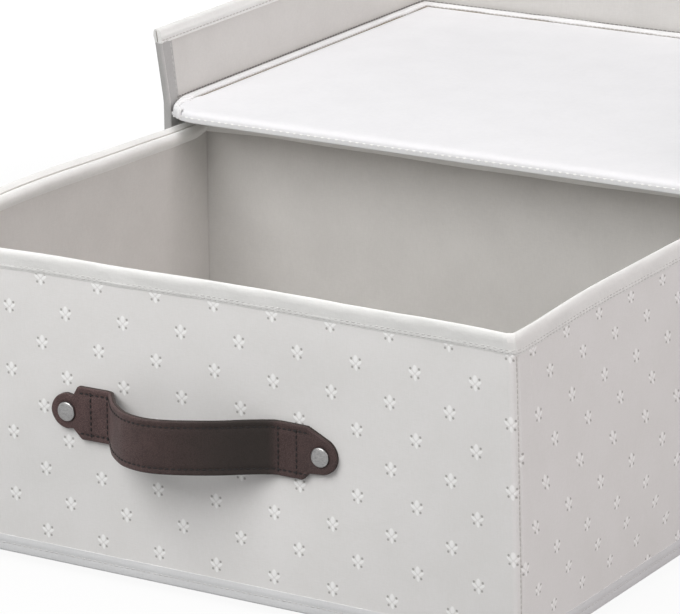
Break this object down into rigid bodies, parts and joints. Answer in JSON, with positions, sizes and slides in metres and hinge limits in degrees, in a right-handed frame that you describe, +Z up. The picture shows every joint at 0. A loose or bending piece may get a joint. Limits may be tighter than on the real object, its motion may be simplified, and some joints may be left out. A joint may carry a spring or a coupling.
{
  "type": "storage box with drawer",
  "caption": "Cloth-covered storage box with a low-rimmed deck on top and a drawer with a riveted strap handle that slides out of the open front.",
  "frame": {"origin": "middle of the case's underside, on the surface that the box stands on", "axes": "+Z up, +Y to the back, +X to the right as seen from the front; the drawer slides out towards -Y"},
  "size_m": [0.3888, 0.5683, 0.2139],
  "materials": {
    "printed_cloth": "matte",
    "plain_cloth": "matte",
    "lining_cloth": "matte",
    "deck_cloth": "matte",
    "board": "matte",
    "leatherette": "satin",
    "rivet_metal": "satin"
  },
  "bodies": {
    "case": {"case_floor_board": "board", "case_left_board": "board", "case_right_board": "board", "case_back_board": "board", "deck_board": "board", "case_left_cover": "printed_cloth", "case_right_cover": "printed_cloth", "case_back_cover": "printed_cloth", "case_bottom_cover": "plain_cloth", "case_rim_hem": "plain_cloth", "case_foot_binding": "plain_cloth", "left_edge_binding": "plain_cloth", "right_edge_binding": "plain_cloth", "floor_edge_binding": "plain_cloth", "case_floor_lining": "lining_cloth", "case_left_lining": "lining_cloth", "case_right_lining": "lining_cloth", "case_back_lining": "lining_cloth", "deck_underside": "lining_cloth", "deck_cover": "deck_cloth", "deck_edge_binding": "deck_cloth", "deck_front_binding": "deck_cloth"},
    "drawer": {"drawer_front_board": "board", "drawer_back_board": "board", "drawer_left_board": "board", "drawer_right_board": "board", "drawer_base_board": "board", "drawer_front_cover": "printed_cloth", "drawer_back_cover": "printed_cloth", "drawer_left_cover": "printed_cloth", "drawer_right_cover": "printed_cloth", "drawer_base_cover": "plain_cloth", "drawer_rim_hem": "plain_cloth", "drawer_foot_binding": "plain_cloth", "drawer_front_lining": "lining_cloth", "drawer_back_lining": "lining_cloth", "drawer_left_lining": "lining_cloth", "drawer_right_lining": "lining_cloth", "drawer_base_lining": "lining_cloth", "handle_strap": "leatherette", "handle_backing": "leatherette", "handle_rivets": "rivet_metal", "rivet_washers": "rivet_metal"}
  },
  "joints": [
    {"name": "drawer_slide", "type": "slide", "parent": "case", "child": "drawer", "axis": [0, -1, 0], "range_m": [-0.246, 0.015]}
  ]
}
